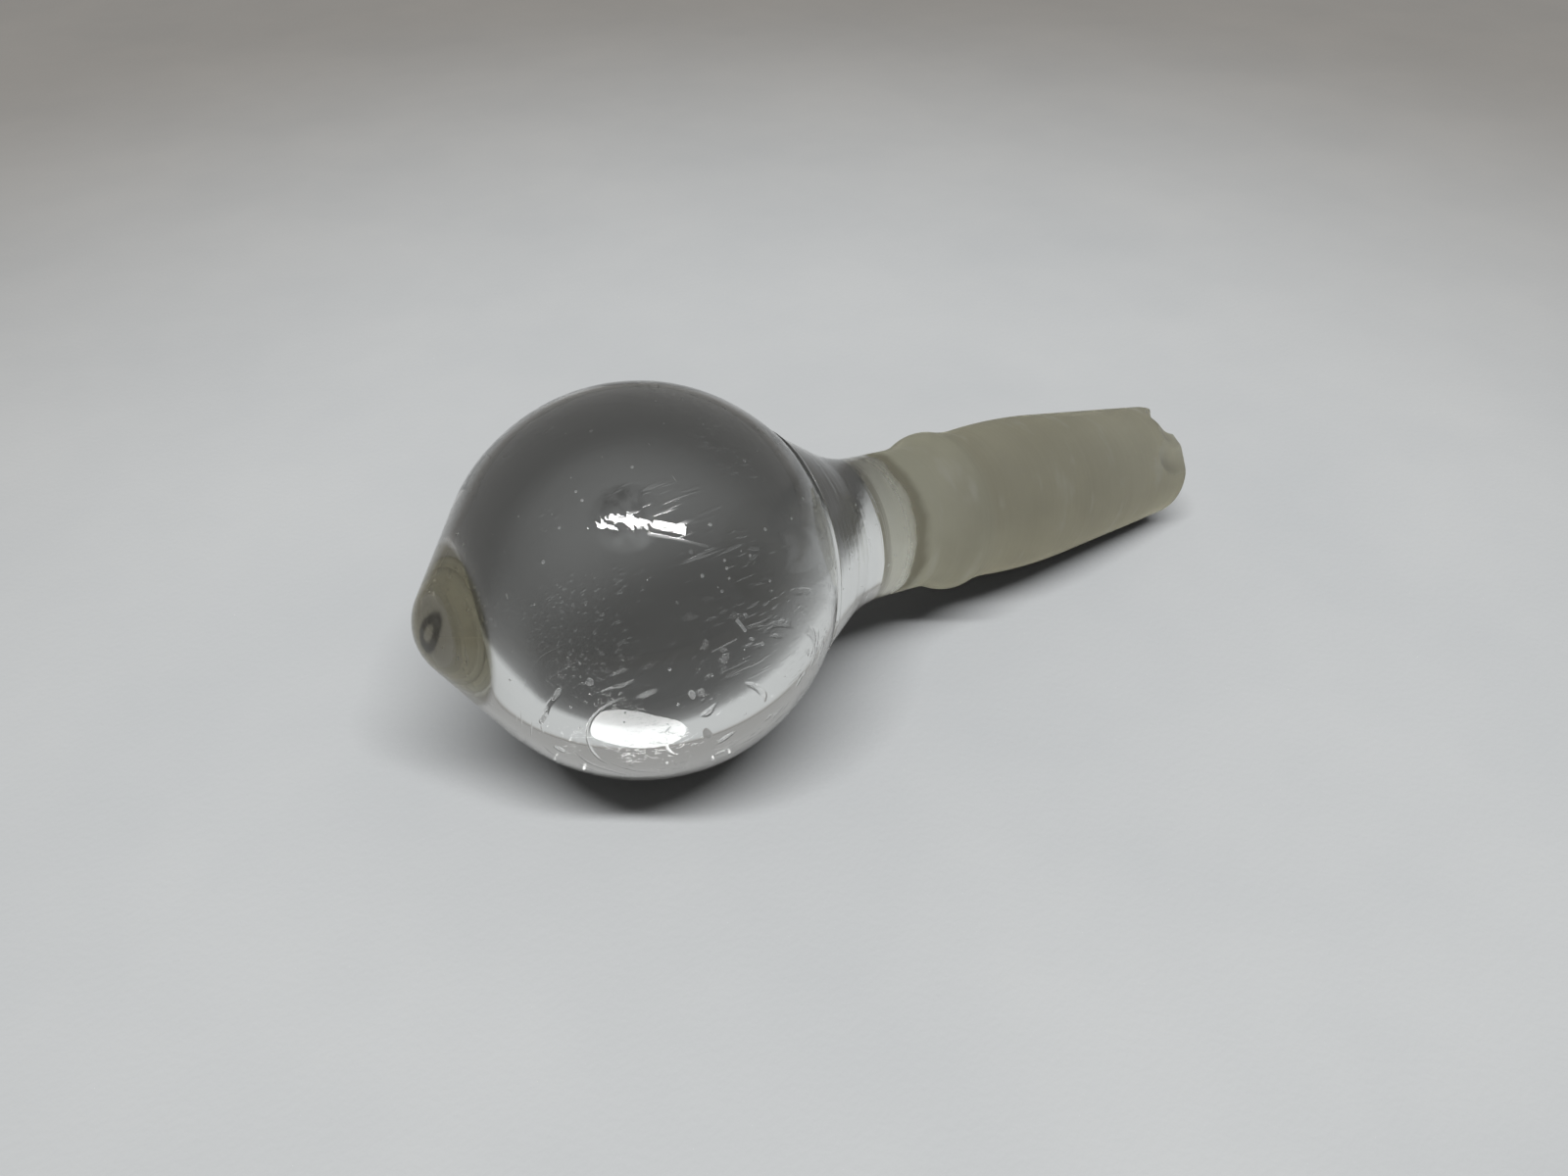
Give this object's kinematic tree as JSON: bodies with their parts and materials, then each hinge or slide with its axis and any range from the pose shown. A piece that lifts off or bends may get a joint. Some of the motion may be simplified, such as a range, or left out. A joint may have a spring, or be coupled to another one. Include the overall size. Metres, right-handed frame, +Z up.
{
  "type": "glass stopper",
  "caption": "Solid clear glass stopper with a blunt-pointed ball head, a drawn neck and a tapered ground plug with a chipped end, lying at rest.",
  "frame": {"origin": "on the surface the stopper lies on, under the middle of its bounding box", "axes": "+Z up, +X the long way, from the ball towards the plug's broken end"},
  "size_m": [0.0989, 0.04, 0.04],
  "materials": {
    "glass": "clear and polished on the head and neck, ground matt on the plug"
  },
  "bodies": {
    "root": {"stopper": "glass"}
  },
  "joints": []
}
